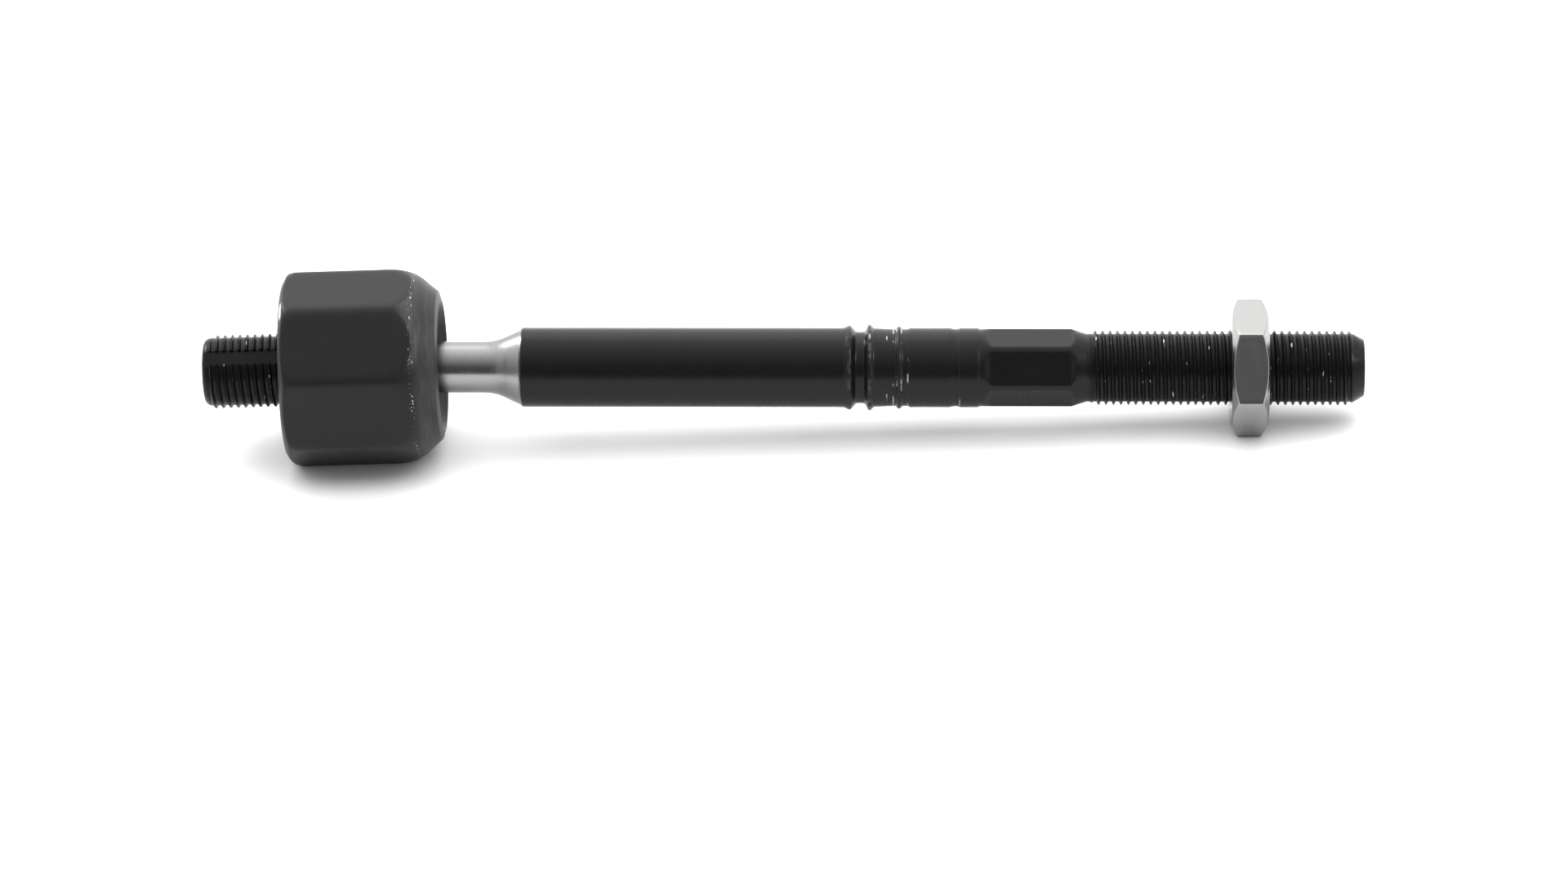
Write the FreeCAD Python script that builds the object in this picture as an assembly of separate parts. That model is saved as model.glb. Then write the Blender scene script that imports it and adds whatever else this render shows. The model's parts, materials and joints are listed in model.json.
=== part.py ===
import FreeCAD, Part
import math
import os

# Inner tie rod: an axial ball joint with its rack stud, the long rod, and the rod's lock nut.
# Millimetres. The origin is the centre of the flat shoulder that seats on the steering rack.
# +X runs out of the rack along the housing's axis, +Z is up.
# The joint lies as it would on a bench, on a housing flat and a nut flat, so the rod droops a little.

Vector = FreeCAD.Vector
AXIS = Vector(1, 0, 0)
SIDEWAYS = Vector(0, 1, 0)

# M15 x 1.5 thread, on the rack stud and on the rod's free end
PITCH = 1.5
CREST_WIDTH = 0.25
ROOT_RADIUS = 6.85
RACK_CREST_RADIUS = 7.4
ROD_CREST_RADIUS = 7.68
LEAD_CREST_RADIUS = 7.5

# rack stud
STUD_LENGTH = 16.4
STUD_TIP_RADIUS = 5.6
STUD_CHAMFER = 1.5
RACK_FIRST_CREST = -13.75
RACK_CRESTS = 9
VENT_WIDTH = 3.0
VENT_FLOOR = 6.5
VENT_ANGLE = 55.0

# housing
HOUSING_LENGTH = 31.7
OCTAGON_FLATS = 37.0
OCTAGON_CORNER = 1.5
SEAT_FACE_RADIUS = 17.0
RELIEF_RADIUS = 8.0
RELIEF_DEPTH = 0.4
BACK_EDGE = 1.1
BACK_BEVEL_END = 2.8
SHOULDER_START = 20.9
SHOULDER_ARC = 12.0
SHOULDER_SWEEP = 46.0
LIP_CONE = 40.0
RIM_EDGE = 0.5
MOUTH_RADIUS = 12.95
THROAT_RADIUS = 10.6
THROAT_START = 27.0
THROAT_END = 28.5

# ball and its seats
BALL_CENTRE = 18.0
BALL_RADIUS = 12.5
POLE_FLAT = 10.9
BALL_CLEARANCE = 0.06
BORE_RADIUS = 14.5
BORE_CLEARANCE = 0.05
CAVITY_FLOOR = 3.6
CAVITY_TAPER_START = 22.9
CAVITY_TAPER_RADIUS = 12.0
SEAT_BACK = 5.2
SEAT_SPLIT = 18.0
SEAT_SPLIT_GAP = 0.2
SEAT_FRONT = 26.7
SEAT_OPENING_ANGLE = 50.5
SEAT_MOUTH_RADIUS = 9.85
GREASE_PORT_RADIUS = 4.5
GREASE_CHANNELS = 4
CHANNEL_WIDTH = 1.4
CHANNEL_DEPTH = 0.6
GREASE_CLEARANCE = 0.06

# disc spring behind the rear seat
SPRING_OUTER = 13.5
SPRING_INNER = 7.0
SPRING_THICKNESS = 0.9
SPRING_CONE = 0.65

# rod
NECK_RADIUS = 5.2
NECK_END = 40.9
CONE_END = 47.5
BAR_RADIUS = 8.0
BAR_START = 48.3
BAR_END = 112.1
PLAIN_START = 125.7
STEP_X = 139.7
HEX_BODY_RADIUS = 7.8
HEX_START = 140.5
HEX_END = 159.1
HEX_FLATS = 14.0
HEX_RUN_OUT = 1.3
TAPER_END = 161.1
ROD_FIRST_CREST = 162.1
ROD_CRESTS = 35
ROD_TIP_CONE = 214.5
ROD_END = 216.7
ROD_TIP_RADIUS = 5.7

# lock nut
NUT_FLATS = 24.0
NUT_START = 190.0
NUT_THICKNESS = 7.5
NUT_BORE_RADIUS = 7.74
NUT_MOUTH_RADIUS = 8.4
NUT_FACE_RADIUS = 11.4
NUT_BEVEL_ANGLE = 30.0


class Outline:
    """A closed outline in the X-radius plane, drawn edge by edge and turned about the X axis."""

    def __init__(self, x, r):
        self.first = Vector(x, 0, r)
        self.here = self.first
        self.edges = []

    def line(self, x, r):
        end = Vector(x, 0, r)
        self.edges.append(Part.makeLine(self.here, end))
        self.here = end

    def arc(self, middle, end):
        points = (self.here, Vector(middle[0], 0, middle[1]), Vector(end[0], 0, end[1]))
        self.edges.append(Part.Arc(*points).toShape())
        self.here = points[-1]

    def curve(self, points):
        curve = Part.BSplineCurve()
        curve.interpolate([self.here] + [Vector(x, 0, r) for x, r in points])
        self.edges.append(curve.toShape())
        self.here = Vector(points[-1][0], 0, points[-1][1])

    def turned(self):
        self.edges.append(Part.makeLine(self.here, self.first))
        face = Part.Face(Part.Wire(self.edges))
        return face.revolve(Vector(0, 0, 0), AXIS, 360)


def thread(outline, first_crest, crests, crest_radius):
    """Adds V grooves of one pitch between flat crests, from the root before to the root after."""
    for turn in range(crests):
        middle = first_crest + turn * PITCH
        radius = crest_radius(middle)
        flank = (radius - ROOT_RADIUS) * math.tan(math.radians(30))
        half = CREST_WIDTH / 2
        outline.line(middle - half - flank, ROOT_RADIUS)
        outline.line(middle - half, radius)
        outline.line(middle + half, radius)
        outline.line(middle + half + flank, ROOT_RADIUS)


def prism(across_flats, sides, start, end):
    """A regular prism along X with one flat facing straight down."""
    corner = across_flats / 2 / math.cos(math.pi / sides)
    turn = 2 * math.pi / sides
    points = []
    for side in range(sides + 1):
        angle = (side + 0.5) * turn - math.pi / 2
        points.append(Vector(start, corner * math.cos(angle), corner * math.sin(angle)))
    return Part.Face(Part.makePolygon(points)).extrude(AXIS * (end - start))


def droop_angle():
    """The tilt that brings the nut's lowest edge level with the housing's lowest flat."""
    reach = NUT_START + NUT_THICKNESS - BALL_CENTRE
    reach -= (NUT_FLATS / 2 - NUT_FACE_RADIUS) * math.tan(math.radians(NUT_BEVEL_ANGLE))
    slant = math.hypot(reach, NUT_FLATS / 2)
    return math.asin(OCTAGON_FLATS / 2 / slant) - math.atan2(NUT_FLATS / 2, reach)


def at_rest(shape):
    """Tilts a piece of the rod about the ball's centre, from the housing's axis to where it lies."""
    shape.rotate(Vector(BALL_CENTRE, 0, 0), SIDEWAYS, math.degrees(droop_angle()))
    return shape


def rack_stud():
    outline = Outline(1.0, 0)
    outline.line(-STUD_LENGTH, 0)
    outline.line(-STUD_LENGTH, STUD_TIP_RADIUS)
    lean = math.sqrt(0.5)
    width = ROOT_RADIUS - STUD_TIP_RADIUS
    middle = (-STUD_LENGTH + STUD_CHAMFER * (1 - lean), STUD_TIP_RADIUS + width * lean)
    outline.arc(middle, (-STUD_LENGTH + STUD_CHAMFER, ROOT_RADIUS))
    thread(outline, RACK_FIRST_CREST, RACK_CRESTS, lambda x: RACK_CREST_RADIUS)
    outline.line(1.0, ROOT_RADIUS)
    stud = outline.turned()
    for angle in (VENT_ANGLE, VENT_ANGLE + 180):
        vent = Part.makeBox(STUD_LENGTH, VENT_WIDTH, RACK_CREST_RADIUS)
        vent.translate(Vector(-STUD_LENGTH, -VENT_WIDTH / 2, VENT_FLOOR))
        vent.rotate(Vector(0, 0, 0), AXIS, 90 - angle)
        stud = stud.cut(vent)
    return stud


def housing_envelope():
    """The turned form that rounds off the octagon at its back edge and at its mouth."""
    corner = OCTAGON_FLATS / 2 / math.cos(math.pi / 8)
    sweep = math.radians(SHOULDER_SWEEP)
    outline = Outline(0, 0)
    outline.line(0, SEAT_FACE_RADIUS)
    outline.arc((0.32, SEAT_FACE_RADIUS + 1.3), (BACK_EDGE, corner - 0.75))
    outline.line(BACK_BEVEL_END, corner)
    outline.line(SHOULDER_START, corner)

    def shoulder(angle):
        x = SHOULDER_START + SHOULDER_ARC * math.sin(angle)
        return x, corner - SHOULDER_ARC * (1 - math.cos(angle))

    x, r = shoulder(sweep)
    outline.arc(shoulder(sweep / 2), (x, r))
    rim_start = HOUSING_LENGTH - RIM_EDGE
    r -= (rim_start - x) * math.tan(math.radians(LIP_CONE))
    outline.line(rim_start, r)
    rim_radius = MOUTH_RADIUS + 0.35
    outline.arc((rim_start + 0.4, (r + rim_radius) / 2 + 0.12), (HOUSING_LENGTH, rim_radius))
    outline.line(HOUSING_LENGTH, 0)
    return outline.turned()


def housing_cavity():
    outline = Outline(CAVITY_FLOOR, 0)
    outline.line(CAVITY_FLOOR, BORE_RADIUS)
    outline.line(CAVITY_TAPER_START, BORE_RADIUS)
    outline.line(THROAT_START, CAVITY_TAPER_RADIUS)
    outline.line(THROAT_START, THROAT_RADIUS)
    outline.line(THROAT_END, THROAT_RADIUS)
    outline.line(HOUSING_LENGTH - 0.1, MOUTH_RADIUS)
    outline.line(HOUSING_LENGTH + 1.0, MOUTH_RADIUS + 1.1)
    outline.line(HOUSING_LENGTH + 1.0, 0)
    return outline.turned()


def socket_housing():
    octagon = prism(OCTAGON_FLATS, 8, 0, HOUSING_LENGTH)
    long_edges = [e for e in octagon.Edges if abs(e.tangentAt(e.FirstParameter).x) > 0.99]
    body = octagon.makeFillet(OCTAGON_CORNER, long_edges).common(housing_envelope())
    relief = Part.makeCylinder(RELIEF_RADIUS, RELIEF_DEPTH, Vector(0, 0, 0), AXIS)
    return body.cut(relief).fuse(rack_stud()).cut(housing_cavity()).removeSplitter()


def rear_seat():
    inner = BALL_RADIUS + BALL_CLEARANCE
    outer = BORE_RADIUS - BORE_CLEARANCE
    end = SEAT_SPLIT - SEAT_SPLIT_GAP / 2
    outline = Outline(SEAT_BACK, GREASE_PORT_RADIUS)
    outline.line(SEAT_BACK, outer - 0.8)
    outline.line(SEAT_BACK + 0.8, outer)
    outline.line(end, outer)
    outline.line(end, math.sqrt(inner**2 - (end - BALL_CENTRE) ** 2))
    start = BALL_CENTRE - math.sqrt(inner**2 - GREASE_PORT_RADIUS**2)
    lean = inner * math.sqrt(0.5)
    outline.arc((BALL_CENTRE - lean, lean), (start, GREASE_PORT_RADIUS))
    seat = outline.turned()
    ball = Part.makeSphere(inner + CHANNEL_DEPTH, Vector(BALL_CENTRE, 0, 0))
    for channel in range(GREASE_CHANNELS):
        slot = Part.makeBox(inner, CHANNEL_WIDTH, BORE_RADIUS)
        slot.translate(Vector(SEAT_BACK, -CHANNEL_WIDTH / 2, 0))
        slot.rotate(Vector(0, 0, 0), AXIS, 360 / GREASE_CHANNELS * (channel + 0.5))
        seat = seat.cut(slot.common(ball))
    return seat


def front_seat():
    inner = BALL_RADIUS + BALL_CLEARANCE
    outer = BORE_RADIUS - BORE_CLEARANCE
    start = SEAT_SPLIT + SEAT_SPLIT_GAP / 2
    opening = math.radians(SEAT_OPENING_ANGLE)

    def on_ball(angle):
        return BALL_CENTRE + inner * math.cos(angle), inner * math.sin(angle)

    outline = Outline(start, math.sqrt(inner**2 - (start - BALL_CENTRE) ** 2))
    outline.line(start, outer)
    outline.line(CAVITY_TAPER_START - 0.1, outer)
    outline.line(SEAT_FRONT, CAVITY_TAPER_RADIUS - 0.1)
    outline.line(SEAT_FRONT, SEAT_MOUTH_RADIUS)
    outline.line(*on_ball(opening))
    outline.arc(on_ball(math.radians(70)), (start, outline.first.z))
    face = Part.Face(Part.Wire(outline.edges))
    return face.revolve(Vector(0, 0, 0), AXIS, 360)


def preload_spring():
    outline = Outline(CAVITY_FLOOR, SPRING_OUTER)
    outline.line(CAVITY_FLOOR + SPRING_THICKNESS, SPRING_OUTER)
    outline.line(CAVITY_FLOOR + SPRING_THICKNESS + SPRING_CONE, SPRING_INNER)
    outline.line(CAVITY_FLOOR + SPRING_CONE, SPRING_INNER)
    return outline.turned()


def grease_charge():
    """The lens of grease between the ball's flat pole and the rear seat."""
    radius = BALL_RADIUS - GREASE_CLEARANCE
    flat = POLE_FLAT + GREASE_CLEARANCE
    middle = math.acos(flat / radius) / 2
    outline = Outline(BALL_CENTRE - flat, 0)
    outline.line(BALL_CENTRE - flat, math.sqrt(radius**2 - flat**2))
    edge = (BALL_CENTRE - radius * math.cos(middle), radius * math.sin(middle))
    outline.arc(edge, (BALL_CENTRE - radius, 0))
    return at_rest(outline.turned())


def wrench_flats(bar):
    """Cuts six flats, each running out to the bar's surface at both ends."""
    depth = 2.0
    ramp = HEX_RUN_OUT * depth / (HEX_BODY_RADIUS - HEX_FLATS / 2)
    low = HEX_FLATS / 2
    points = [
        Vector(HEX_START - ramp + HEX_RUN_OUT, 0, low + depth),
        Vector(HEX_START + HEX_RUN_OUT, 0, low),
        Vector(HEX_END - HEX_RUN_OUT, 0, low),
        Vector(HEX_END + ramp - HEX_RUN_OUT, 0, low + depth),
    ]
    section = Part.Face(Part.makePolygon(points + points[:1]))
    for side in range(6):
        cutter = section.extrude(SIDEWAYS * 2 * BAR_RADIUS)
        cutter.translate(SIDEWAYS * -BAR_RADIUS)
        cutter.rotate(Vector(0, 0, 0), AXIS, 60 * side)
        bar = bar.cut(cutter)
    return bar


def boot_grooves(outline):
    """The lips and grooves that hold the boot's clamp, then the shallow ring beyond them."""
    lip = BAR_RADIUS + 0.5
    floor = BAR_RADIUS - 0.8
    outline.line(BAR_END, BAR_RADIUS)
    outline.curve([(BAR_END + 0.9, BAR_RADIUS + 0.12), (BAR_END + 1.5, lip - 0.06)])
    outline.curve([(114.1, 8.05), (114.7, floor + 0.18), (115.6, floor), (116.5, floor + 0.25)])
    outline.curve([(117.0, 8.2), (117.4, lip + 0.15), (117.9, 8.3), (118.5, 7.95)])
    outline.line(121.8, 7.83)
    outline.curve([(122.4, 7.75), (122.9, 8.05), (123.4, 8.3), (124.0, 8.05), (124.8, 7.75)])
    outline.curve([(125.2, 7.87), (PLAIN_START, BAR_RADIUS)])
    outline.line(133.4, BAR_RADIUS)
    outline.arc((134.7, BAR_RADIUS - 0.2), (136.0, BAR_RADIUS))
    outline.line(STEP_X - 0.3, BAR_RADIUS)
    outline.line(STEP_X, HEX_BODY_RADIUS)


def tie_rod():
    def crest(x):
        return ROD_CREST_RADIUS if x < NUT_START + NUT_THICKNESS else LEAD_CREST_RADIUS

    outline = Outline(BALL_CENTRE - POLE_FLAT, 0)
    outline.line(BALL_CENTRE - POLE_FLAT, math.sqrt(BALL_RADIUS**2 - POLE_FLAT**2))
    neck_joint = BALL_CENTRE + math.sqrt(BALL_RADIUS**2 - NECK_RADIUS**2)
    outline.arc((BALL_CENTRE, BALL_RADIUS), (neck_joint, NECK_RADIUS))
    outline.line(NECK_END, NECK_RADIUS)
    outline.arc((NECK_END + 1.75, NECK_RADIUS + 0.22), (NECK_END + 3.4, NECK_RADIUS + 0.85))
    outline.line(CONE_END, BAR_RADIUS - 0.25)
    outline.arc((CONE_END + 0.35, BAR_RADIUS - 0.08), (BAR_START, BAR_RADIUS))
    boot_grooves(outline)
    outline.line(HEX_END - 1.0, HEX_BODY_RADIUS)
    outline.line(TAPER_END, ROOT_RADIUS)
    thread(outline, ROD_FIRST_CREST, ROD_CRESTS, crest)
    outline.line(ROD_TIP_CONE - 0.4, ROOT_RADIUS)
    outline.line(ROD_TIP_CONE, ROOT_RADIUS - 0.2)
    outline.line(ROD_END, ROD_TIP_RADIUS)
    outline.line(ROD_END, 0)
    return at_rest(wrench_flats(outline.turned()))


def lock_nut():
    end = NUT_START + NUT_THICKNESS
    corner = NUT_FLATS / 2 / math.cos(math.pi / 6)
    bevel = (corner - NUT_FACE_RADIUS) * math.tan(math.radians(NUT_BEVEL_ANGLE))
    sink = NUT_MOUTH_RADIUS - NUT_BORE_RADIUS
    outline = Outline(NUT_START, NUT_MOUTH_RADIUS)
    outline.line(NUT_START, NUT_FACE_RADIUS)
    outline.line(NUT_START + bevel, corner)
    outline.line(end - bevel, corner)
    outline.line(end, NUT_FACE_RADIUS)
    outline.line(end, NUT_MOUTH_RADIUS)
    outline.line(end - sink, NUT_BORE_RADIUS)
    outline.line(NUT_START + sink, NUT_BORE_RADIUS)
    return at_rest(outline.turned().common(prism(NUT_FLATS, 6, NUT_START, end)))


PIECES = (
    socket_housing,
    rear_seat,
    front_seat,
    preload_spring,
    grease_charge,
    tie_rod,
    lock_nut,
)

os.makedirs("parts", exist_ok=True)
print(f"droop {math.degrees(droop_angle()):.6f} deg")
for piece in PIECES:
    shape = piece()
    shape.exportStep(f"parts/{piece.__name__}.step")
    box = shape.BoundBox
    print(
        f"{piece.__name__}: {shape.ShapeType}, valid {shape.isValid()}, {shape.Volume:.1f} mm3,"
        f" x {box.XMin:.2f} to {box.XMax:.2f}, z {box.ZMin:.3f} to {box.ZMax:.3f}"
    )
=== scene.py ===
import json
import math

import bmesh
import bpy
from mathutils import Matrix, Vector


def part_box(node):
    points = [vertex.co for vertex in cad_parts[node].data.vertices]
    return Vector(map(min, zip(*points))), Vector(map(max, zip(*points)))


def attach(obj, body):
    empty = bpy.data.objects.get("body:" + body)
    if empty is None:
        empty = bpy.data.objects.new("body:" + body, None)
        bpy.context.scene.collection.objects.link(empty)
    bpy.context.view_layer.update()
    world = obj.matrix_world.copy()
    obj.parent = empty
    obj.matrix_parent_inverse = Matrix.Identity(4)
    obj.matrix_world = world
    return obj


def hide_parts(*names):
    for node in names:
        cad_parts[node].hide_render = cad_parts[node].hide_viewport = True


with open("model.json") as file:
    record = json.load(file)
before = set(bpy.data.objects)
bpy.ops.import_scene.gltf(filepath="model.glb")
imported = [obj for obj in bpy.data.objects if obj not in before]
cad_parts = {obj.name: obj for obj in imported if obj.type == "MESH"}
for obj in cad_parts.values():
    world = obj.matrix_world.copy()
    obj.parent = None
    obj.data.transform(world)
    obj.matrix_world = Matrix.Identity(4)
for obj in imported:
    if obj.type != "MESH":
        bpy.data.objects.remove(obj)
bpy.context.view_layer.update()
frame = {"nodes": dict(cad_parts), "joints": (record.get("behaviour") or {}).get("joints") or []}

# Inner tie rod. Lengths are in millimetres until a mesh is finished, which is in metres.
MM = 0.001
AXIS = Vector((1, 0, 0))
OWN_PLACE = "own_place"

joints = {joint["name"]: joint for joint in frame["joints"]}
BALL_CENTRE = Vector(joints["ball_tilt"]["pos_m"]) / MM
ROD_AXIS = Vector(joints["rod_twist"]["axis"])
DROOP = math.atan2(-ROD_AXIS.z, ROD_AXIS.x)
FLOOR_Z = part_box("socket_housing")[0].z

# M15 x 1.5 thread, by its radii
PITCH = 1.5
RACK_CREST = 7.4
ROD_CREST = 7.5
ROOT = 6.85
CREST_WIDTH = 0.2
THREAD_STEPS = 96

# steps round each turned form, in one sector from flat to flat
HOUSING_STEPS = 24
ROD_STEPS = 32
NUT_STEPS = 40

# rack stud: its thread rises from the core by LEAD and fades into it at the foot by RUN_OUT
STUD_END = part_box("socket_housing")[0].x / MM
STUD_CHAMFER = 1.5
STUD_CHAMFER_RINGS = 6
STUD_TIP = 5.6
STUD_LEAD = 2.2
STUD_RUN_OUT_START = -1.0
STUD_RUN_OUT = 1.6
STUD_FOOT = 0.8
VENT_HALF = 1.5
VENT_FLOOR = 6.5
VENT_ANGLE = math.radians(55)

# housing: an octagon, a rounded shoulder and a rolled conical lip round a hollow for the ball
HOUSING_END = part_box("socket_housing")[1].x / MM
OCTAGON_FLATS = -2 * FLOOR_Z / MM
OCTAGON_CORNER = OCTAGON_FLATS / 2 / math.cos(math.pi / 8)
OCTAGON_EDGE = 0.7
RELIEF_DEPTH = 0.4
RELIEF_RADIUS = 8.0
BACK_FACE = 17.3
BACK_BEVEL_MIDDLE = 1.1
BACK_BEVEL_END = 2.8
SHOULDER_START = 20.9
SHOULDER_RADIUS = 12.0
SHOULDER_SWEEP = math.radians(46)
SHOULDER_POINTS = 10
LIP_CONE = math.radians(40)
MOUTH = 13.3
THROAT = 10.6
THROAT_START = 27.0
THROAT_END = 28.5
SEAT_MOUTH = 12.0
CAVITY = 14.5
CAVITY_TAPER = 22.9
CAVITY_FLOOR = 3.6

# rod, by its radii: its ball has a flat pole at the back
BALL = 12.5
BALL_POLE = 10.9
BALL_POINTS = 36
NECK = 5.2
BAR = 8.0
COATING_START = 47.6
# rings on the bar where short bright ticks are painted as glints on the ring flanks
GLINT_RINGS = (117.6, 121.0, 122.3, 123.0, 123.9, 125.2, 135.6)
HEX_BODY = 7.8
HEX_FLATS = 14.0
HEX_EDGE = 0.08
HEX_START = 140.5
HEX_END = 159.1
HEX_RUN_OUT = 1.3
THREAD_START = 161.4
ROD_CONE = 214.5
ROD_CONE_RADIUS = 6.9
ROD_END = 216.7
ROD_TIP = 5.7

# lock nut: a plain bore that just clears the rod's crests
NUT_START = 190.0
NUT_END = 197.5
NUT_FLATS = 24.0
NUT_EDGE = 0.12
NUT_BEVEL = math.radians(30)
NUT_BORE = 7.58
NUT_MOUTH = 8.4
NUT_FACE = 11.4

# studio: the sky's brightness from its darkest side, at the front and below, to its brightest,
# which is SKY_BRIGHTEST above level at the back
SKY_STOPS = (
    (0.0, 0.12),
    (0.37, 0.17),
    (0.49, 0.34),
    (0.62, 0.7),
    (0.742, 1.05),
    (0.847, 1.45),
    (0.937, 2.1),
    (0.976, 2.2),
    (1.0, 3.3),
)
SKY_BRIGHTEST = math.radians(50)
WALL_LIGHT = 0.5
FLOOR_HALF_WIDTH = 6.0


# ---------------------------------------------------------------- mesh tools


def rounded(corners, step):
    """Points along an outline of (x, radius, fillet) corners, no further apart than step."""
    points = [Vector(corners[0][:2])]
    for before, corner, after in zip(corners, corners[1:], corners[2:]):
        here = Vector(corner[:2])
        if not corner[2]:
            points.append(here)
            continue
        back = (Vector(before[:2]) - here).normalized()
        ahead = (Vector(after[:2]) - here).normalized()
        half = back.angle(ahead) / 2
        start = here + back * corner[2] / math.tan(half)
        centre = here + (back + ahead).normalized() * corner[2] / math.sin(half)
        turn = (math.pi - 2 * half) * (1 if back.x * ahead.y < back.y * ahead.x else -1)
        pieces = max(3, math.ceil(abs(turn) / 0.22))
        for piece in range(pieces + 1):
            spoke = start - centre
            spoke.rotate(Matrix.Rotation(turn * piece / pieces, 2))
            points.append(centre + spoke)
    points.append(Vector(corners[-1][:2]))
    fine = [points[0]]
    for here, there in zip(points, points[1:]):
        pieces = max(1, math.ceil((there - here).length / step))
        fine += [here.lerp(there, (piece + 1) / pieces) for piece in range(pieces)]
    return fine


def spin_sector(bm, outline, angle, steps, rise=0.0):
    """Spins an outline of (x, radius) points through part of a turn about the X axis."""
    verts = [bm.verts.new((x, 0, r)) for x, r in outline]
    edges = [bm.edges.new(pair) for pair in zip(verts, verts[1:])]
    bmesh.ops.spin(
        bm,
        geom=verts + edges,
        cent=(0, 0, 0),
        axis=AXIS,
        dvec=(rise / steps, 0, 0),
        angle=angle,
        steps=steps,
        use_merge=False,
        use_duplicate=False,
    )


def repeat(bm, copies, move):
    """Copies the whole mesh, each copy moved by move(number), and welds them together."""
    first = bm.verts[:] + bm.edges[:] + bm.faces[:]
    for number in range(1, copies):
        made = bmesh.ops.duplicate(bm, geom=first)["geom"]
        verts = [g for g in made if isinstance(g, bmesh.types.BMVert)]
        bmesh.ops.transform(bm, matrix=move(number), verts=verts)
    bmesh.ops.remove_doubles(bm, verts=bm.verts, dist=1e-3)


def turned(outline, sides, steps):
    """Turns an outline a full turn about the X axis, in equal sectors of so many steps each."""
    bm = bmesh.new()
    sector = 2 * math.pi / sides
    spin_sector(bm, outline, sector, steps)
    repeat(bm, sides, lambda number: Matrix.Rotation(sector * number, 4, AXIS))
    return bm


def soft_min(a, b, width):
    """The smaller of two radii, with the corner where they meet rounded over that width."""
    near = max(width - abs(a - b), 0.0)
    return min(a, b) - near * near / (4 * width)


def press_flats(bm, sides, distance, edge):
    """Presses evenly spaced flats into a turned form, each distance(x) from the axis."""
    turn = 2 * math.pi / sides
    for v in bm.verts:
        radius = math.hypot(v.co.y, v.co.z)
        if radius < 1e-3:
            continue
        reach = distance(v.co.x)
        angle = math.atan2(v.co.z, v.co.y) + math.pi / 2
        off = abs((angle + turn / 2) % turn - turn / 2)
        polygon = soft_min(reach / math.cos(off), reach / math.cos(turn - off), edge)
        pressed = soft_min(radius, polygon, edge)
        v.co.y *= pressed / radius
        v.co.z *= pressed / radius


def helix(start, end, crest, limit):
    """A helical thread: one tooth spun along the axis, cut square at both ends, and trimmed so
    that no point stands further from the axis than limit(x). Both ends are left open."""
    flank = (crest - ROOT) * math.tan(math.radians(30))
    half = CREST_WIDTH / 2
    # corners of the tooth, each eased by a few hundredths of a millimetre
    tooth = [
        (-PITCH / 2, ROOT),
        (-half - flank, ROOT),
        (-half - flank + 0.06, ROOT + 0.09),
        (-half - 0.04, crest - 0.06),
        (-half + 0.03, crest),
        (half - 0.03, crest),
        (half + 0.04, crest - 0.06),
        (half + flank - 0.06, ROOT + 0.09),
        (half + flank, ROOT),
        (PITCH / 2, ROOT),
    ]
    turns = math.ceil((end - start) / PITCH) + 2
    bm = bmesh.new()
    outline = [(start - PITCH + x, r) for x, r in tooth]
    spin_sector(bm, outline, 2 * math.pi, THREAD_STEPS, PITCH)
    repeat(bm, turns, lambda number: Matrix.Translation(AXIS * PITCH * number))
    for x, side in ((start, -1), (end, 1)):
        bmesh.ops.bisect_plane(
            bm,
            geom=bm.verts[:] + bm.edges[:] + bm.faces[:],
            plane_co=(x, 0, 0),
            plane_no=(side, 0, 0),
            clear_outer=True,
            dist=1e-4,
        )
    for v in bm.verts:
        radius = math.hypot(v.co.y, v.co.z)
        trimmed = min(radius, limit(v.co.x))
        v.co.y *= trimmed / radius
        v.co.z *= trimmed / radius
    return bm


def stretch_end(bm, x, rings):
    """Extrudes the open end at x through (x, radius) rings and closes it."""
    rim = [e for e in bm.edges if e.is_boundary and all(abs(v.co.x - x) < 0.01 for v in e.verts)]
    for ring_x, ring_radius in rings:
        made = bmesh.ops.extrude_edge_only(bm, edges=rim)["geom"]
        rim = [g for g in made if isinstance(g, bmesh.types.BMEdge) and g.is_boundary]
        for v in {v for e in rim for v in e.verts}:
            scale = ring_radius / math.hypot(v.co.y, v.co.z)
            v.co = Vector((ring_x, v.co.y * scale, v.co.z * scale))
    bmesh.ops.holes_fill(bm, edges=rim, sides=0)


def press_vents(bm):
    """Sinks two straight grooves along the stud, one on each side."""
    for angle in (VENT_ANGLE, VENT_ANGLE + math.pi):
        out = Vector((0, -math.cos(angle), math.sin(angle)))
        across = out.cross(AXIS)
        for wall in (-VENT_HALF - 0.05, -VENT_HALF, VENT_HALF, VENT_HALF + 0.05):
            bmesh.ops.bisect_plane(
                bm,
                geom=bm.verts[:] + bm.edges[:] + bm.faces[:],
                plane_co=across * wall,
                plane_no=across,
                dist=1e-4,
            )
        for v in bm.verts:
            height = v.co.dot(out)
            if abs(v.co.dot(across)) < VENT_HALF + 0.01 and height > VENT_FLOOR:
                v.co -= out * (height - VENT_FLOOR)


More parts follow.
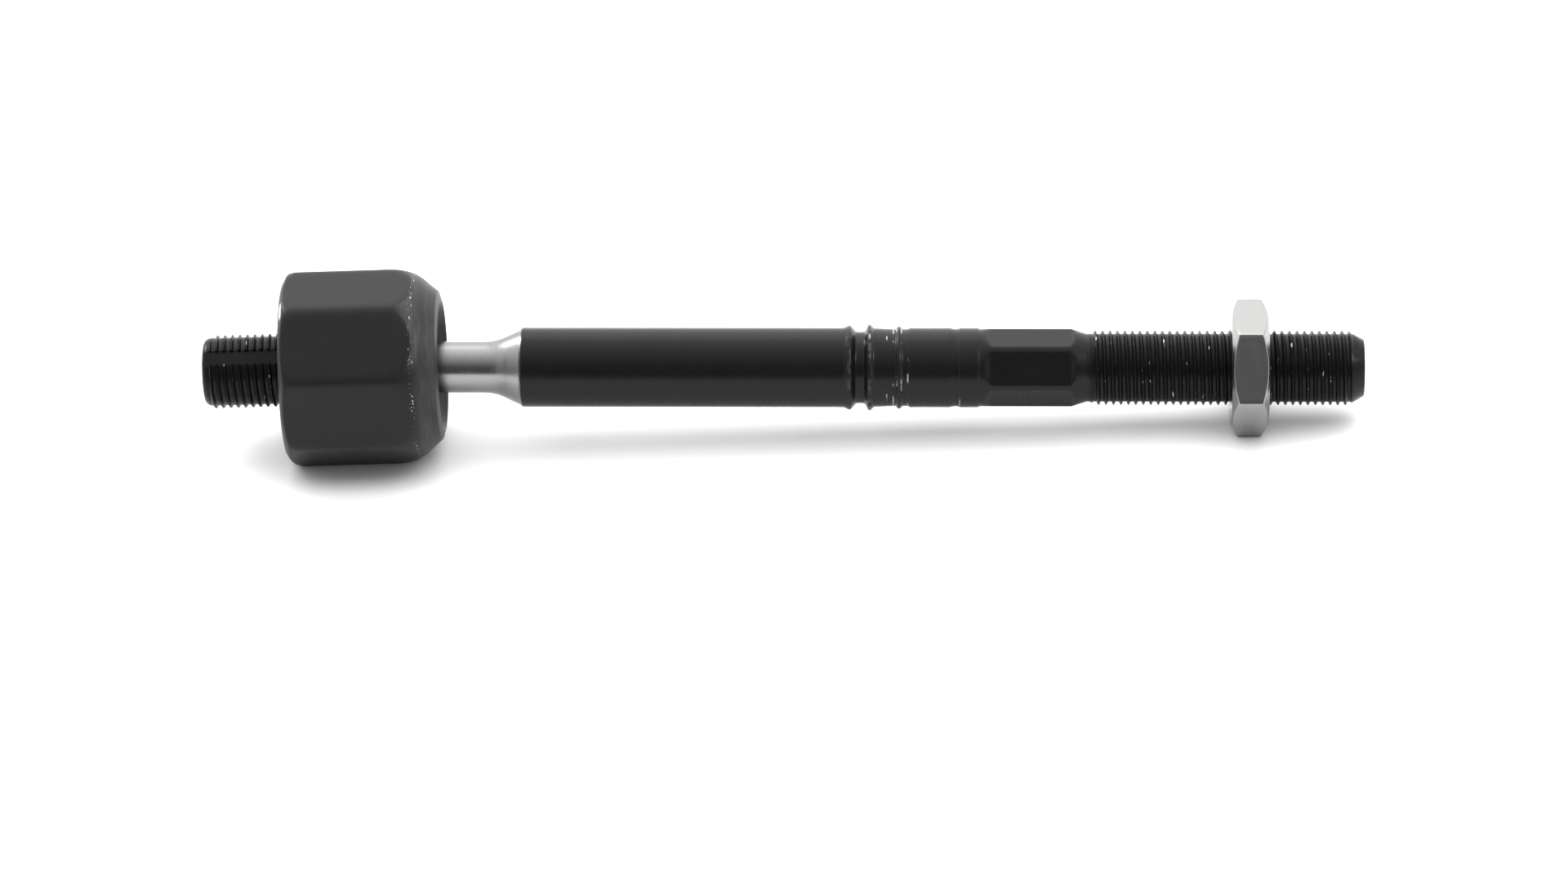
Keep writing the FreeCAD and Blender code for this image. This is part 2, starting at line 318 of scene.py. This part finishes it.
def finished(bm, name, body, material, replaces=(), tilted=False, sharp=35):
    """Makes the object, notes where each point is on the straight piece, and lays it down."""
    bmesh.ops.remove_doubles(bm, verts=bm.verts, dist=1e-4)
    bmesh.ops.dissolve_degenerate(bm, edges=bm.edges, dist=1e-5)
    bmesh.ops.recalc_face_normals(bm, faces=bm.faces)
    for face in bm.faces:
        face.smooth = True
    for e in bm.edges:
        e.smooth = len(e.link_faces) != 2 or e.calc_face_angle() < math.radians(sharp)
    place = bm.verts.layers.float_vector.new(OWN_PLACE)
    for v in bm.verts:
        v[place] = v.co
    if tilted:
        turn = Matrix.Rotation(DROOP, 4, "Y")
        bmesh.ops.transform(
            bm,
            matrix=Matrix.Translation(BALL_CENTRE) @ turn @ Matrix.Translation(-BALL_CENTRE),
            verts=bm.verts,
        )
    bmesh.ops.scale(bm, vec=(MM, MM, MM), verts=bm.verts)
    mesh = bpy.data.meshes.new(name)
    bm.to_mesh(mesh)
    bm.free()
    piece = bpy.data.objects.new(name, mesh)
    bpy.context.scene.collection.objects.link(piece)
    mesh.materials.append(material)
    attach(piece, body)
    if replaces:
        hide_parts(*replaces)
    return piece


# ---------------------------------------------------------------- finishes


class Finish:
    """A material's node tree, with one short method for each kind of node it uses."""

    def __init__(self, name):
        self.material = bpy.data.materials.new(name)
        self.material.use_nodes = True
        self.tree = self.material.node_tree
        self.shader = self.tree.nodes["Principled BSDF"]

    def feed(self, socket, value):
        """Links a socket to another node's output, or sets it to a constant."""
        if isinstance(value, bpy.types.NodeSocket):
            self.tree.links.new(value, socket)
        else:
            socket.default_value = value

    def set(self, **values):
        """Feeds the shader's inputs, each named with _ for a space."""
        for name, value in values.items():
            self.feed(self.shader.inputs[name.replace("_", " ")], value)

    def own_place(self):
        """The point in millimetres, on the straight piece before it is laid down."""
        node = self.tree.nodes.new("ShaderNodeAttribute")
        node.attribute_name = OWN_PLACE
        return node.outputs["Vector"]

    def object_place(self):
        """The point in millimetres, on a piece carried over from the frame."""
        node = self.tree.nodes.new("ShaderNodeTexCoord")
        return self.vector("SCALE", node.outputs["Object"], scale=1 / MM)

    def vector(self, operation, a, b=None, scale=None):
        node = self.tree.nodes.new("ShaderNodeVectorMath")
        node.operation = operation
        self.feed(node.inputs[0], a)
        if b is not None:
            self.feed(node.inputs[1], b)
        if scale is not None:
            node.inputs["Scale"].default_value = scale
        return node.outputs["Value" if operation == "LENGTH" else "Vector"]

    def split(self, vector):
        node = self.tree.nodes.new("ShaderNodeSeparateXYZ")
        self.feed(node.inputs[0], vector)
        return node.outputs

    def math(self, operation, a, b=0.0):
        node = self.tree.nodes.new("ShaderNodeMath")
        node.operation = operation
        self.feed(node.inputs[0], a)
        self.feed(node.inputs[1], b)
        return node.outputs[0]

    def span(self, value, low, high, start=0.0, end=1.0):
        """Carries a value from low..high to start..end, smoothly, and holds it outside."""
        node = self.tree.nodes.new("ShaderNodeMapRange")
        node.interpolation_type = "SMOOTHSTEP"
        names = ("Value", "From Min", "From Max", "To Min", "To Max")
        for name, number in zip(names, (value, low, high, start, end)):
            self.feed(node.inputs[name], number)
        return node.outputs["Result"]

    def band(self, value, low, high, edge):
        """1 between low and high, fading to 0 over edge on each side."""
        rise = self.span(value, low - edge, low + edge)
        fall = self.span(value, high - edge, high + edge, 1.0, 0.0)
        return self.math("MULTIPLY", rise, fall)

    def noise(self, vector, scale, detail=3.0, roughness=0.5, stretch=(1, 1, 1)):
        if stretch != (1, 1, 1):
            vector = self.vector("MULTIPLY", vector, stretch)
        node = self.tree.nodes.new("ShaderNodeTexNoise")
        self.feed(node.inputs["Vector"], vector)
        self.feed(node.inputs["Scale"], scale)
        self.feed(node.inputs["Detail"], detail)
        self.feed(node.inputs["Roughness"], roughness)
        return node.outputs["Fac"]

    def cells(self, vector, scale):
        node = self.tree.nodes.new("ShaderNodeTexVoronoi")
        self.feed(node.inputs["Vector"], vector)
        self.feed(node.inputs["Scale"], scale)
        return node.outputs["Distance"]

    def mix(self, factor, a, b):
        """A colour from a to b."""
        node = self.tree.nodes.new("ShaderNodeMix")
        node.data_type = "RGBA"
        self.feed(node.inputs["Factor"], factor)
        self.feed(node.inputs["A"], a)
        self.feed(node.inputs["B"], b)
        return node.outputs["Result"]

    def blend(self, factor, a, b):
        """A number from a to b."""
        node = self.tree.nodes.new("ShaderNodeMix")
        self.feed(node.inputs["Factor"], factor)
        self.feed(node.inputs["A"], a)
        self.feed(node.inputs["B"], b)
        return node.outputs["Result"]

    def bump(self, height, strength, distance):
        """Raises the surface by a height of 1 over distance, in millimetres."""
        node = self.tree.nodes.new("ShaderNodeBump")
        node.inputs["Strength"].default_value = strength
        node.inputs["Distance"].default_value = distance * MM
        self.feed(node.inputs["Height"], height)
        self.set(Normal=node.outputs["Normal"])

    def off_axis(self, place):
        """How far a point is from the X axis."""
        return self.vector("LENGTH", self.vector("MULTIPLY", place, (0, 1, 1)))

    def specular(self, level):
        self.shader.inputs["Specular IOR Level"].default_value = level


def grey(level, warm=0.0):
    """A grey that leans to yellow where warm is above 0, and to blue below it."""
    return (level * (1 + warm), level, level * (1 - warm), 1.0)


def housing_finish():
    """Satin black coating on a forging, rubbed grey in streaks round the rolled shoulder, with
    the rub kept to the top side near the flats as painted top light, and a painted highlight on
    the back edge.
    """
    f = Finish("housing_coating")
    place = f.own_place()
    x, y, z = f.split(place)
    radius = f.off_axis(place)
    around = f.math("ARCTAN2", z, y)
    # the octagon's eight flats stay unrubbed
    off_middle = f.math("PINGPONG", around, math.pi / 8)
    reach = f.math("MULTIPLY", radius, f.math("COSINE", off_middle))
    flat = OCTAGON_FLATS / 2
    off_flat = f.span(reach, flat - 0.3, flat - 0.1, 1.0, 0.0)

    mottle = f.noise(place, 0.16, 4.0, 0.55)
    grain = f.noise(place, 2.6, 3.0, 0.6)
    streaks = f.noise(place, 0.5, 4.0, 0.55, (3.0, 0.3, 0.3))
    # painted top light: near the flats the grey rub is kept to the top side, where the shoulder
    # faces the light; further along the lip it goes all round as wear
    painted_top_light = f.span(f.math("DIVIDE", z, radius), 0.45, 0.62, 0.05, 1.0)
    spread = f.blend(f.span(x, 26.6, 28.4), painted_top_light, 0.7)
    rolled = f.math("MULTIPLY", off_flat, f.span(x, 23.2, 25.2))
    wear_and_painted_light = f.math("MULTIPLY", rolled, f.span(streaks, 0.25, 0.75, 0.3, 1.0))
    wear_and_painted_light = f.math("MULTIPLY", wear_and_painted_light, spread)
    coat = f.mix(mottle, grey(0.0085), grey(0.012))
    colour = f.mix(wear_and_painted_light, coat, grey(0.05, -0.02))

    # bare flecks where the lip was rolled in, and a painted highlight: a bright metal line on
    # the back edge where a lamp glints; bare holds both
    fleck_field = f.noise(place, 1.5, 2.0, 0.5, (2.2, 0.8, 0.8))
    flecks = f.math("MULTIPLY", f.span(fleck_field, 0.64, 0.68), f.band(x, 26.2, 27.0, 0.25))
    painted_edge_glint = f.math("MULTIPLY", f.band(x, 0.3, 0.75, 0.1), f.band(around, 1.8, 2.0, 0.04))
    bare = f.math("MAXIMUM", flecks, painted_edge_glint)
    f.set(Base_Color=f.mix(bare, colour, grey(0.6)), Metallic=f.math("MULTIPLY", bare, 0.8))
    rough = f.blend(mottle, 0.36, 0.43)
    f.set(Roughness=f.math("ADD", rough, f.math("MULTIPLY", wear_and_painted_light, 0.08)))
    f.specular(0.15)
    height = f.math("ADD", f.math("MULTIPLY", mottle, 1.2), f.math("MULTIPLY", grain, 0.12))
    height = f.math("ADD", height, f.math("MULTIPLY", wear_and_painted_light, 0.35))
    f.bump(height, 0.22, 0.12)
    return f.material


def rod_finish():
    """Smooth black coating along the bar, and bright turned steel on the neck and the ball."""
    f = Finish("rod_coating")
    place = f.own_place()
    x = f.split(place)["X"]
    radius = f.off_axis(place)
    mottle = f.noise(place, 0.18, 3.0, 0.5)
    grain = f.noise(place, 3.0, 2.0, 0.5)
    ragged = f.math("ADD", x, f.math("MULTIPLY", f.noise(place, 0.8, 2.0), 0.25))
    bare = f.span(ragged, COATING_START, COATING_START + 0.15, 1.0, 0.0)
    lathe = f.noise(place, 1.0, 2.0, 0.5, (7.0, 0.2, 0.2))
    stain = f.noise(place, 0.5, 4.0, 0.6)
    stain = f.math("MULTIPLY", f.band(x, 40.5, 45.0, 1.5), f.span(stain, 0.48, 0.7))
    steel = f.mix(lathe, grey(0.225, 0.01), grey(0.26, 0.01))
    steel = f.mix(f.math("MULTIPLY", stain, 0.35), steel, grey(0.17, 0.02))
    coat = f.mix(mottle, grey(0.0045), grey(0.0065))
    # a little real wear on the raised lips, and painted glints: short bright metal ticks round
    # the listed rings, where lamps glint on the flanks
    lips = f.span(radius, 8.25, 8.6)
    wear_and_ring_glints = f.math("MULTIPLY", lips, f.span(f.noise(place, 0.9, 3.0), 0.42, 0.66, 0.0, 0.1))
    glint_and_rub_spots = f.span(f.noise(place, 0.26, 2.0, 0.5, (2.0, 1.0, 1.0)), 0.55, 0.63)
    for ring in GLINT_RINGS:
        painted_ring_glint = f.math("MULTIPLY", f.band(x, ring - 0.1, ring + 0.1, 0.08), glint_and_rub_spots)
        wear_and_ring_glints = f.math("MAXIMUM", wear_and_ring_glints, painted_ring_glint)
    coat = f.mix(wear_and_ring_glints, coat, grey(0.4))
    f.set(Base_Color=f.mix(bare, coat, steel))
    f.set(Metallic=f.math("MAXIMUM", bare, f.math("MULTIPLY", wear_and_ring_glints, 0.7)))
    coat_rough = f.blend(mottle, 0.24, 0.3)
    steel_rough = f.blend(lathe, 0.2, 0.27)
    f.set(Roughness=f.blend(bare, coat_rough, steel_rough))
    f.specular(0.16)
    height = f.math("ADD", f.math("MULTIPLY", mottle, 0.25), f.math("MULTIPLY", grain, 0.06))
    f.bump(f.blend(bare, height, lathe), 0.1, 0.05)
    return f.material


def thread_finish(name):
    """Black coating with a few fine bright rubs on the crests: partly wear, partly painted
    glints where the crests catch the light.
    """
    f = Finish(name)
    place = f.own_place()
    radius = f.off_axis(place)
    # sparse bright metal ticks on the crests: partly wear, partly painted glints
    crest = f.span(radius, RACK_CREST - 0.1, RACK_CREST - 0.03)
    glint_and_rub_spots = f.noise(place, 0.7, 3.0, 0.6, (1.6, 0.7, 0.7))
    wear_and_painted_light = f.math("MULTIPLY", crest, f.span(glint_and_rub_spots, 0.66, 0.71))
    mottle = f.noise(place, 0.5, 3.0)
    coat = f.mix(mottle, grey(0.003), grey(0.006))
    f.set(Base_Color=f.mix(wear_and_painted_light, coat, grey(0.4)), Metallic=f.math("MULTIPLY", wear_and_painted_light, 0.8))
    f.set(Roughness=f.blend(mottle, 0.26, 0.36))
    f.specular(0.12)
    f.bump(mottle, 0.15, 0.05)
    return f.material


def zinc_finish():
    """Bright zinc plate: smooth, with a faint cloud and fine drawing lines."""
    f = Finish("zinc")
    place = f.own_place()
    cloud = f.noise(place, 0.35, 4.0, 0.55)
    spangle = f.cells(place, 1.1)
    drawn = f.noise(place, 1.2, 2.0, 0.5, (0.2, 2.0, 2.0))
    colour = f.mix(cloud, grey(0.285, 0.01), grey(0.325, 0.01))
    f.set(Base_Color=colour, Metallic=1.0)
    f.set(Roughness=f.blend(f.math("MULTIPLY", cloud, spangle), 0.2, 0.32))
    f.bump(f.math("ADD", cloud, f.math("MULTIPLY", drawn, 0.15)), 0.12, 0.04)
    return f.material


def plastic_finish():
    """Natural acetal: off-white, a little waxy, with a fine moulded grain."""
    f = Finish("seat_plastic")
    place = f.object_place()
    cloud = f.noise(place, 0.25, 3.0)
    grain = f.noise(place, 5.0, 2.0)
    f.set(Base_Color=f.mix(cloud, (0.78, 0.76, 0.7, 1), (0.86, 0.84, 0.79, 1)))
    f.set(Roughness=f.blend(grain, 0.38, 0.52))
    f.bump(grain, 0.15, 0.03)
    return f.material


def spring_finish():
    """Blued spring steel, with a heat colour that changes towards the rim."""
    f = Finish("spring_steel")
    place = f.object_place()
    radius = f.off_axis(place)
    rings = f.noise(place, 0.8, 3.0)
    heat = f.span(f.math("ADD", radius, f.math("MULTIPLY", rings, 3.0)), 8.0, 15.0)
    f.set(Base_Color=f.mix(heat, (0.1, 0.12, 0.2, 1), (0.28, 0.22, 0.16, 1)), Metallic=1.0)
    f.set(Roughness=f.blend(rings, 0.25, 0.42))
    f.bump(rings, 0.15, 0.04)
    return f.material


def grease_finish():
    """Amber grease with swirls left by the ball."""
    f = Finish("grease")
    place = f.object_place()
    swirl = f.noise(place, 0.6, 3.0, 0.5, (1.0, 1.0, 2.5))
    f.set(Base_Color=f.mix(swirl, (0.42, 0.27, 0.07, 1), (0.6, 0.42, 0.15, 1)))
    f.set(Roughness=f.blend(swirl, 0.16, 0.3))
    f.bump(swirl, 0.4, 0.25)
    return f.material


# ---------------------------------------------------------------- pieces


def housing_outline():
    """The forging from its back face over the rolled lip, and back in to the cavity floor."""
    corner = OCTAGON_CORNER

    def on_shoulder(angle):
        return (
            SHOULDER_START + SHOULDER_RADIUS * math.sin(angle),
            corner - SHOULDER_RADIUS * (1 - math.cos(angle)),
        )

    def shoulder_point(part):
        return on_shoulder(SHOULDER_SWEEP * part / SHOULDER_POINTS)

    x, r = on_shoulder(SHOULDER_SWEEP)
    rim = HOUSING_END - 0.5
    outer = [
        (RELIEF_DEPTH, 0, 0),
        (RELIEF_DEPTH, RELIEF_RADIUS, 0.1),
        (0, RELIEF_RADIUS + 0.05, 0.05),
        (0, BACK_FACE, 0.7),
        (BACK_BEVEL_MIDDLE, corner - 0.75, 1.2),
        (BACK_BEVEL_END, corner, 1.2),
        (SHOULDER_START, corner, 0),
    ]
    outer += [(*shoulder_point(part), 0) for part in range(1, SHOULDER_POINTS + 1)]
    lip = [
        (rim, r - (rim - x) * math.tan(LIP_CONE), 0.4),
        (HOUSING_END - 0.02, MOUTH, 0.12),
        (HOUSING_END - 0.1, MOUTH - 0.35, 0.1),
    ]
    inner = [
        (THROAT_END, THROAT, 0.6),
        (THROAT_START, THROAT, 0.15),
        (THROAT_START, SEAT_MOUTH, 0),
        (CAVITY_TAPER, CAVITY, 0.5),
        (CAVITY_FLOOR, CAVITY, 0.4),
        (CAVITY_FLOOR, 0, 0),
    ]
    return rounded(outer + lip + inner, 0.55)


def make_housing(finish, thread):
    bm = turned(housing_outline(), 8, HOUSING_STEPS)
    press_flats(bm, 8, lambda x: OCTAGON_FLATS / 2, OCTAGON_EDGE)
    finished(
        bm, "housing_forging", "housing", finish, replaces=["socket_housing"]
    )
    make_stud(thread)


def make_stud(thread):
    """The threaded stud that screws into the rack, with its rounded tip and two vent grooves."""
    start = STUD_END + STUD_CHAMFER

    def limit(x):
        if x < start:
            fall = math.sqrt(max(0.0, 1 - ((start - x) / STUD_CHAMFER) ** 2))
            tip = STUD_TIP + (ROOT - STUD_TIP) * fall
        else:
            tip = ROOT + (x - start) * STUD_LEAD
        run_out = ROOT + max(0.0, STUD_RUN_OUT_START - x) * STUD_RUN_OUT
        return min(tip, run_out, RACK_CREST)

    bm = helix(start, STUD_FOOT, RACK_CREST, limit)
    rings = []
    for ring in range(1, STUD_CHAMFER_RINGS + 1):
        angle = math.pi / 2 * ring / STUD_CHAMFER_RINGS
        x = start - STUD_CHAMFER * math.sin(angle)
        rings.append((x, STUD_TIP + (ROOT - STUD_TIP) * math.cos(angle)))
    stretch_end(bm, start, rings)
    stretch_end(bm, STUD_FOOT, [(STUD_FOOT + 0.2, ROOT - 0.5)])
    press_vents(bm)
    finished(bm, "rack_stud", "housing", thread)


def rod_outline():
    """The rod from the ball's flat pole to the thread's core. Each corner: x, radius, fillet."""
    first = math.acos(BALL_POLE / BALL)
    last = math.pi - math.asin(NECK / BALL)
    points = [Vector((BALL_CENTRE.x - BALL_POLE, 0))]
    for part in range(BALL_POINTS + 1):
        angle = first + (last - first) * part / BALL_POINTS
        points.append(Vector((BALL_CENTRE.x - BALL * math.cos(angle), BALL * math.sin(angle))))
    neck = [
        (points[-1].x, NECK, 0),
        (42.1, NECK, 9.0),
        (47.25, 7.62, 0.5),
        (47.8, BAR, 0.35),
    ]
    boot_groove = [
        (112.3, BAR, 1.5),
        (113.6, 8.62, 0.5),
        (114.8, 7.2, 0.7),
        (116.5, 7.2, 0.6),
        (117.4, 8.95, 0.45),
        (118.4, 7.93, 0.6),
    ]
    ridge = [
        (122.0, 7.78, 0.4),
        (122.7, 7.72, 0.5),
        (123.4, 8.55, 0.5),
        (124.2, 7.72, 0.6),
        (125.1, 7.78, 0.4),
        (125.7, BAR, 0.6),
    ]
    shallow_ring = [
        (133.5, BAR, 1.0),
        (134.7, 7.78, 1.5),
        (135.4, 7.86, 0.1),
        (135.7, BAR, 0.1),
    ]
    hexagon_and_core = [
        (139.2, BAR, 0.15),
        (139.7, HEX_BODY, 0.4),
        (HEX_END - 1.0, HEX_BODY, 0.8),
        (161.1, ROOT, 0.5),
        (THREAD_START + 0.6, ROOT, 0),
        (THREAD_START + 0.6, 0, 0),
    ]
    shaft = neck + boot_groove + ridge + shallow_ring + hexagon_and_core
    return points[:-1] + rounded(shaft, 0.5)


def make_rod(finish, thread):
    ramp = (HEX_BODY - HEX_FLATS / 2) / HEX_RUN_OUT
    low = HEX_START + HEX_RUN_OUT
    high = HEX_END - HEX_RUN_OUT

    def hexagon(x):
        return HEX_FLATS / 2 + max(0.0, low - x, x - high) * ramp

    bm = turned(rod_outline(), 6, ROD_STEPS)
    press_flats(bm, 6, hexagon, HEX_EDGE)
    finished(bm, "rod_forging", "rod", finish, replaces=["tie_rod"], tilted=True)

    def limit(x):
        lead = ROOT + max(0.0, x - THREAD_START - 0.3) * 0.6
        slope = (ROD_CONE_RADIUS - ROD_TIP) / (ROD_END - ROD_CONE)
        cone = ROD_TIP + (ROD_END - x) * slope
        return min(lead, max(cone, 0.0) + 0.02, ROD_CREST)

    bm = helix(THREAD_START, ROD_CONE, ROD_CREST, limit)
    stretch_end(bm, ROD_CONE, [(ROD_END - 0.2, ROD_TIP + 0.09), (ROD_END, ROD_TIP - 0.1)])
    stretch_end(bm, THREAD_START, [(THREAD_START - 0.3, ROOT - 1.0)])
    finished(bm, "rod_thread", "rod", thread, tilted=True)


def make_nut(finish):
    corner = NUT_FLATS / 2 / math.cos(math.pi / 6)
    bevel = (corner - NUT_FACE) * math.tan(NUT_BEVEL)
    sink = NUT_MOUTH - NUT_BORE
    outline = [
        (NUT_START, NUT_MOUTH, 0),
        (NUT_START, NUT_FACE, 0.15),
        (NUT_START + bevel, corner, 0.1),
        (NUT_END - bevel, corner, 0.1),
        (NUT_END, NUT_FACE, 0.15),
        (NUT_END, NUT_MOUTH, 0.08),
        (NUT_END - sink, NUT_BORE, 0.05),
        (NUT_START + sink, NUT_BORE, 0.05),
        (NUT_START, NUT_MOUTH, 0),
    ]
    bm = turned(rounded(outline, 0.16), 6, NUT_STEPS)
    press_flats(bm, 6, lambda x: NUT_FLATS / 2, NUT_EDGE)
    finished(bm, "hexagon_nut", "nut", finish, replaces=["lock_nut"], tilted=True)


# ---------------------------------------------------------------- setting


def make_camera():
    """Looks at the rod's side from above the front, far off through a long lens."""
    elevation = math.radians(32)
    azimuth = math.radians(2.6)
    distance = 1560
    field_width = 315.27
    middle = 100.3
    below = 14.8
    sensor = 36
    level = Vector((0, math.cos(elevation), -math.sin(elevation)))
    toward = Matrix.Rotation(azimuth, 3, "Z") @ level
    right = toward.cross(Vector((0, 0, 1))).normalized()
    up = right.cross(toward)
    lean = math.radians(0.06)
    roll = math.atan2(ROD_AXIS.dot(up), ROD_AXIS.dot(right)) + lean
    right, up = (
        right * math.cos(roll) + up * math.sin(roll),
        up * math.cos(roll) - right * math.sin(roll),
    )
    aim = BALL_CENTRE + ROD_AXIS * (middle - BALL_CENTRE.x) - up * below
    data = bpy.data.cameras.new("camera")
    data.sensor_width = sensor
    data.lens = distance * sensor / field_width
    data.clip_start = 0.01
    data.clip_end = 50
    camera = bpy.data.objects.new("camera", data)
    camera.matrix_world = Matrix((right, up, -toward)).transposed().to_4x4()
    camera.location = (aim - toward * distance) * MM
    bpy.context.scene.collection.objects.link(camera)
    bpy.context.scene.camera = camera


def make_floor():
    """A plain pale floor that the housing rests on."""
    bm = bmesh.new()
    bmesh.ops.create_grid(bm, x_segments=1, y_segments=1, size=FLOOR_HALF_WIDTH)
    bmesh.ops.translate(bm, vec=(0, 0, FLOOR_Z), verts=bm.verts)
    mesh = bpy.data.meshes.new("floor")
    bm.to_mesh(mesh)
    bm.free()
    floor = bpy.data.objects.new("floor", mesh)
    bpy.context.scene.collection.objects.link(floor)
    f = Finish("floor_paper")
    f.set(Base_Color=grey(0.9), Roughness=0.9)
    mesh.materials.append(f.material)


def make_sky():
    """A soft studio: dark at the front, bright overhead towards the back, lit side walls."""
    world = bpy.data.worlds.new("studio")
    bpy.context.scene.world = world
    world.use_nodes = True
    tree = world.node_tree
    place = tree.nodes.new("ShaderNodeTexCoord")
    toward = tree.nodes.new("ShaderNodeVectorMath")
    toward.operation = "DOT_PRODUCT"
    toward.inputs[1].default_value = (0, math.cos(SKY_BRIGHTEST), math.sin(SKY_BRIGHTEST))
    tree.links.new(place.outputs["Generated"], toward.inputs[0])
    shift = tree.nodes.new("ShaderNodeMapRange")
    shift.inputs["From Min"].default_value = -1
    tree.links.new(toward.outputs["Value"], shift.inputs["Value"])
    ramp = tree.nodes.new("ShaderNodeValToRGB")
    elements = ramp.color_ramp.elements
    while len(elements) < len(SKY_STOPS):
        elements.new(0.5)
    for element, (position, level) in zip(elements, SKY_STOPS):
        element.position = position
        element.color = grey(level)
    tree.links.new(shift.outputs["Result"], ramp.inputs["Fac"])
    split = tree.nodes.new("ShaderNodeSeparateXYZ")
    tree.links.new(place.outputs["Generated"], split.inputs[0])
    sideways = tree.nodes.new("ShaderNodeMath")
    sideways.operation = "ABSOLUTE"
    tree.links.new(split.outputs["X"], sideways.inputs[0])
    wall = tree.nodes.new("ShaderNodeMapRange")
    wall.interpolation_type = "SMOOTHSTEP"
    wall.inputs["From Min"].default_value = 0.35
    wall.inputs["From Max"].default_value = 0.9
    wall.inputs["To Max"].default_value = WALL_LIGHT
    tree.links.new(sideways.outputs[0], wall.inputs["Value"])
    total = tree.nodes.new("ShaderNodeMath")
    tree.links.new(ramp.outputs["Color"], total.inputs[0])
    tree.links.new(wall.outputs["Result"], total.inputs[1])
    tree.links.new(total.outputs[0], tree.nodes["Background"].inputs["Strength"])
    tree.nodes["Background"].inputs["Color"].default_value = grey(1.0)


def make_light(name, place, aim, size, power, soft):
    """A soft light shows only in how it lights, and a lamp shows only as a gleam."""
    data = bpy.data.lights.new(name, "AREA")
    data.shape = "RECTANGLE"
    data.size, data.size_y = size
    data.energy = power
    light = bpy.data.objects.new(name, data)
    light.location = place
    light.rotation_euler = (Vector(aim) - Vector(place)).to_track_quat("-Z", "Y").to_euler()
    light.visible_glossy = not soft
    light.visible_diffuse = soft
    light.visible_camera = False
    bpy.context.scene.collection.objects.link(light)


coat = housing_finish()
threads = thread_finish("thread_coating")
make_housing(coat, threads)
make_rod(rod_finish(), threads)
make_nut(zinc_finish())
for node, finish in (
    ("rear_seat", plastic_finish()),
    ("front_seat", bpy.data.materials["seat_plastic"]),
    ("preload_spring", spring_finish()),
    ("grease_charge", grease_finish()),
):
    for material_slot in frame["nodes"][node].material_slots:
        material_slot.material = finish

make_camera()
make_floor()
make_sky()
make_light("ceiling", (0.1, 0.1, 1.3), (0.1, 0, 0), (2.2, 1.8), 29, True)
make_light("left_lamp", (-0.86, 0.9, 0.72), (0.1, 0, 0), (0.3, 0.3), 9.0, False)
make_light("right_lamp", (1.32, -0.22, 0.84), (0.1, 0, 0), (0.3, 0.3), 9.0, False)
bpy.context.scene.view_settings.view_transform = "Standard"
